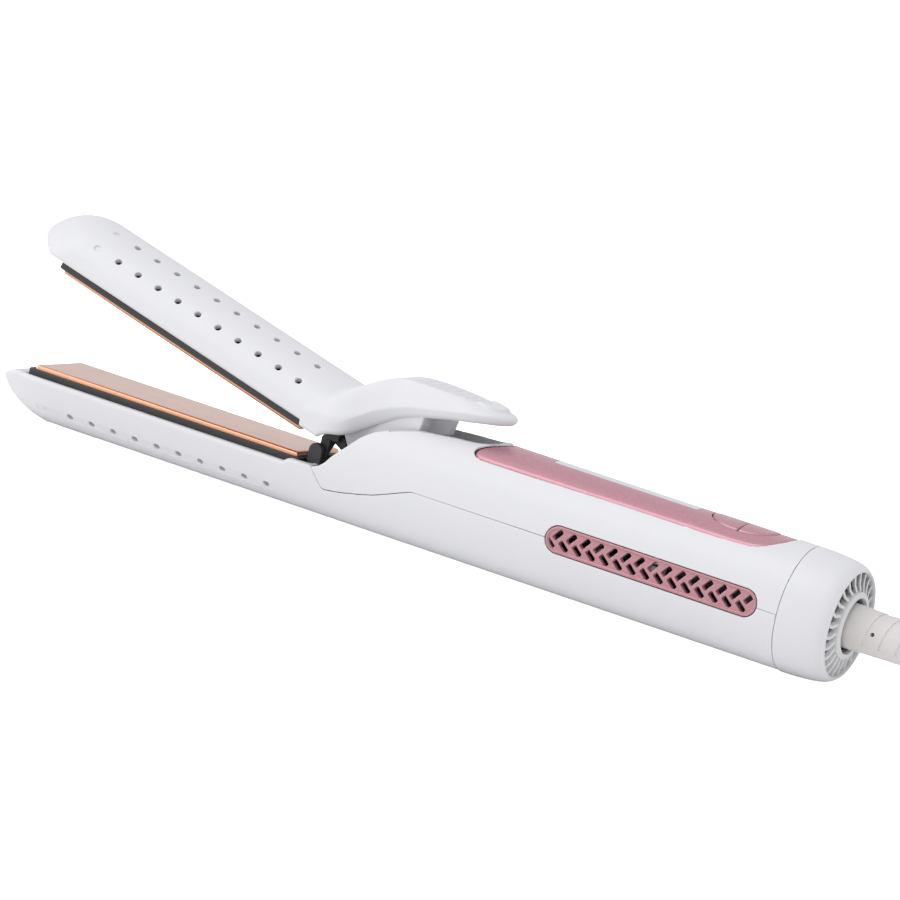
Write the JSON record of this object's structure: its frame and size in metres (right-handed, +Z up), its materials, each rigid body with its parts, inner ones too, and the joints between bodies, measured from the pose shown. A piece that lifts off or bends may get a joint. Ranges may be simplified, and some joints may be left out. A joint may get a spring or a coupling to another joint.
{
  "type": "airflow flat iron",
  "caption": "Hair-straightening iron with a round fan handle, a fixed lower arm and a lever-operated upper arm, both with floating heated plates and air holes.",
  "frame": {"origin": "centre of the flat land under the handle, 100 mm in front of the rear cap seam", "axes": "+X along the handle towards the cord, so the plates point to -X; +Z up, to the lever and buttons; +Y across the handle"},
  "size_m": [0.3741, 0.042, 0.0698],
  "materials": {
    "white_shell": "fine-textured white moulded plastic",
    "grey_liner": "mid-grey moulded plastic inside the pocket",
    "white_grille": "satin white moulded plastic",
    "pink_metallic": "satin rose metallic lacquer on plastic",
    "pink_vent": "darker rose metallic lacquer on plastic",
    "black_plastic": "heat-resistant black plastic",
    "plate_coating": "rose-copper ceramic coating on aluminium, satin",
    "heater_ceramic": "pressed ceramic heater",
    "display_lens": "translucent smoke-grey window",
    "cord_rubber": "warm off-white soft rubber",
    "steel": "zinc-plated steel",
    "board": "green solder-masked circuit board"
  },
  "bodies": {
    "handle": {"lower_shell": "white_shell", "upper_shell": "white_shell", "rear_cap": "white_shell", "intake_grille": "white_grille", "cord_socket": "black_plastic", "control_panel": "pink_metallic", "display_lens": "display_lens", "left_vent_grille": "pink_vent", "right_vent_grille": "pink_vent", "control_board": "board", "display_module": "display_lens", "power_switch": "black_plastic", "mode_switch": "black_plastic", "main_board": "board", "fan_housing": "black_plastic", "fan_motor": "steel", "lower_plate_carrier": "black_plastic", "lower_wire_guard": "black_plastic", "lower_spring_front": "steel", "lower_spring_rear": "steel", "hinge_pin": "steel", "hinge_spring": "steel", "shell_screw_1": "steel", "shell_screw_2": "steel", "shell_screw_3": "steel", "lower_carrier_screw_1": "steel", "lower_carrier_screw_2": "steel"},
    "upper_arm": {"upper_arm_shell": "white_shell", "lever_liner": "grey_liner", "upper_plate_carrier": "black_plastic", "upper_wire_guard": "black_plastic", "upper_spring_front": "steel", "upper_spring_rear": "steel", "left_hinge_bush": "steel", "right_hinge_bush": "steel", "upper_carrier_screw_1": "steel", "upper_carrier_screw_2": "steel"},
    "lower_plate_unit": {"lower_plate": "plate_coating", "lower_heater": "heater_ceramic"},
    "upper_plate_unit": {"upper_plate": "plate_coating", "upper_heater": "heater_ceramic"},
    "fan": {"fan_impeller": "black_plastic"},
    "cord": {"cord_swivel": "black_plastic", "strain_relief": "cord_rubber", "power_cord": "cord_rubber"},
    "power_button_cap": {"power_button": "pink_metallic"},
    "mode_button_cap": {"mode_button": "pink_metallic"}
  },
  "joints": [
    {"name": "arm_hinge", "type": "hinge", "parent": "handle", "child": "upper_arm", "pos_m": [-0.051, 0, 0.0276], "axis": [0, 1, 0], "range_deg": [-14, 6]},
    {"name": "lower_plate_float", "type": "slide", "parent": "handle", "child": "lower_plate_unit", "axis": [0, 0, 1], "range_m": [-0.0008, 0], "stiffness_N_per_m": 2000},
    {"name": "upper_plate_float", "type": "slide", "parent": "upper_arm", "child": "upper_plate_unit", "axis": [0.2445, 0, 0.9697], "range_m": [0, 0.0008], "stiffness_N_per_m": 2000},
    {"name": "power_press", "type": "slide", "parent": "handle", "child": "power_button_cap", "axis": [0, 0, 1], "range_m": [-0.0006, 0], "stiffness_N_per_m": 500},
    {"name": "mode_press", "type": "slide", "parent": "handle", "child": "mode_button_cap", "axis": [0, 0, 1], "range_m": [-0.0006, 0], "stiffness_N_per_m": 500},
    {"name": "fan_spin", "type": "hinge", "parent": "handle", "child": "fan", "pos_m": [0.093, 0, 0.0196], "axis": [1, 0, 0], "continuous": true},
    {"name": "cord_spin", "type": "hinge", "parent": "handle", "child": "cord", "pos_m": [0.11, 0, 0.0196], "axis": [1, 0, 0], "continuous": true}
  ]
}
